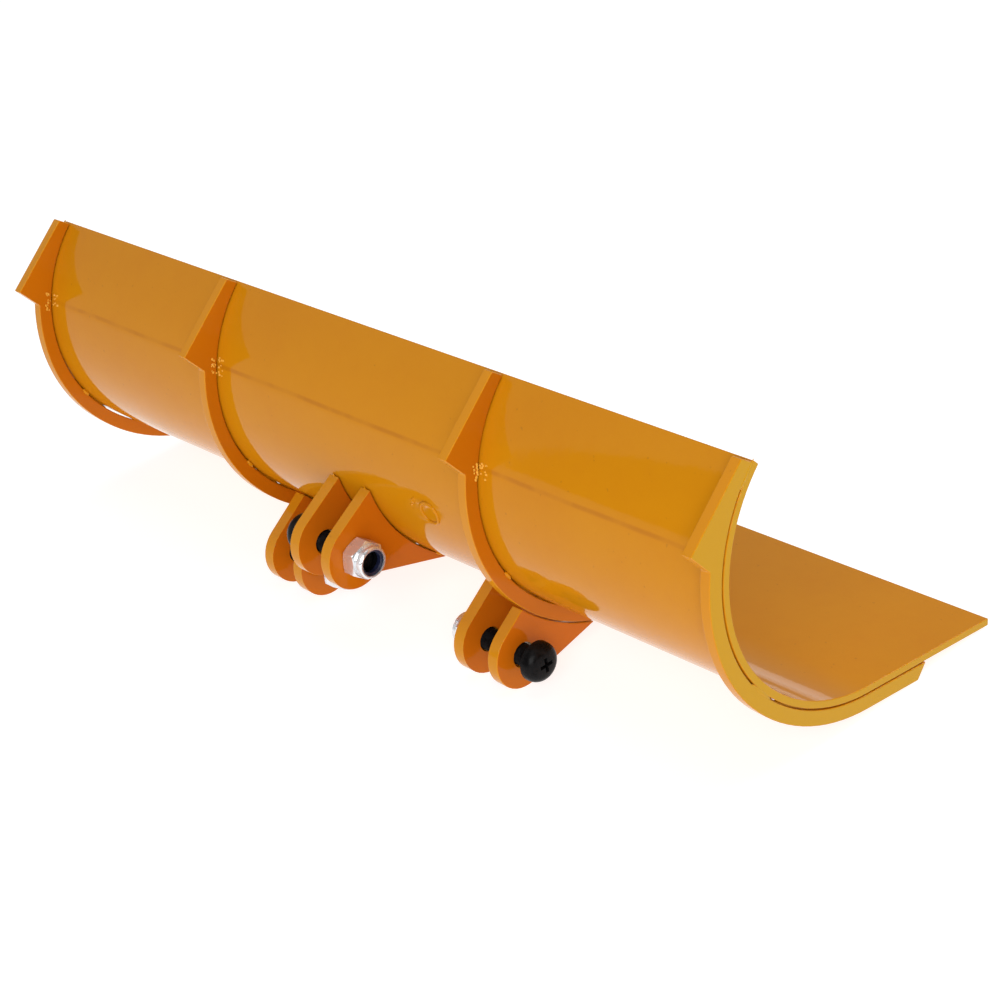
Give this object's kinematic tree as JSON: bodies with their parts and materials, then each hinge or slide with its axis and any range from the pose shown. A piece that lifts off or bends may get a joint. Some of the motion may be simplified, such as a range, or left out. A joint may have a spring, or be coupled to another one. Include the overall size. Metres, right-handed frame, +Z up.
{
  "type": "loader bucket",
  "caption": "Small open-ended loader bucket: a rolled shell backed by plate ribs, with lug clevises for two arms and a tilt link.",
  "frame": {"origin": "centre of the bucket's bounding box, on the level surface that it stands on", "axes": "+X along the bucket, from its left end to its right end as an operator behind it sees them; +Y forwards, to the cutting edge; +Z up, with the bucket standing on its two lower clevises and the toes of its ribs"},
  "size_m": [0.225, 0.0878, 0.0723],
  "materials": {
    "shell_paint": "gloss yellow-orange paint, slight orange peel, worn pale on bent edges",
    "rib_paint": "gloss yellow-orange paint over plate edges",
    "lug_paint": "gloss yellow-orange paint over plate edges",
    "black_steel": "black oxide, satin",
    "zinc": "bright zinc plate",
    "nylon": "dark blue nylon"
  },
  "bodies": {
    "bucket": {"bucket_shell": "shell_paint", "rib_left_end": "rib_paint", "rib_left": "rib_paint", "rib_right": "rib_paint", "rib_right_end": "rib_paint", "left_arm_lug_outer": "lug_paint", "left_arm_lug_inner": "lug_paint", "tilt_link_lug_left": "lug_paint", "tilt_link_lug_right": "lug_paint", "right_arm_lug_inner": "lug_paint", "right_arm_lug_outer": "lug_paint"},
    "left_arm_nut": {"left_arm_nut": "zinc", "left_arm_nut_ring": "nylon"},
    "left_arm_screw": {"left_arm_screw": "black_steel"},
    "tilt_link_nut": {"tilt_link_nut": "zinc", "tilt_link_nut_ring": "nylon"},
    "tilt_link_screw": {"tilt_link_screw": "black_steel"},
    "right_arm_nut": {"right_arm_nut": "zinc", "right_arm_nut_ring": "nylon"},
    "right_arm_screw": {"right_arm_screw": "black_steel"}
  },
  "joints": [
    {"name": "left_arm_pin_float", "type": "slide", "parent": "bucket", "child": "left_arm_nut", "axis": [-1, 0, 0], "range_m": [0, 0.0034]},
    {"name": "left_arm_screw_turn", "type": "hinge", "parent": "left_arm_nut", "child": "left_arm_screw", "pos_m": [-0.0265, -0.02573, 0.0076], "axis": [1, 0, 0], "continuous": true},
    {"name": "tilt_link_pin_float", "type": "slide", "parent": "bucket", "child": "tilt_link_nut", "axis": [1, 0, 0], "range_m": [0, 0.0034]},
    {"name": "tilt_link_screw_turn", "type": "hinge", "parent": "tilt_link_nut", "child": "tilt_link_screw", "pos_m": [0.0021, -0.03635, 0.02511], "axis": [1, 0, 0], "continuous": true},
    {"name": "right_arm_pin_float", "type": "slide", "parent": "bucket", "child": "right_arm_nut", "axis": [-1, 0, 0], "range_m": [0, 0.0034]},
    {"name": "right_arm_screw_turn", "type": "hinge", "parent": "right_arm_nut", "child": "right_arm_screw", "pos_m": [0.0394, -0.02573, 0.0076], "axis": [1, 0, 0], "continuous": true}
  ]
}
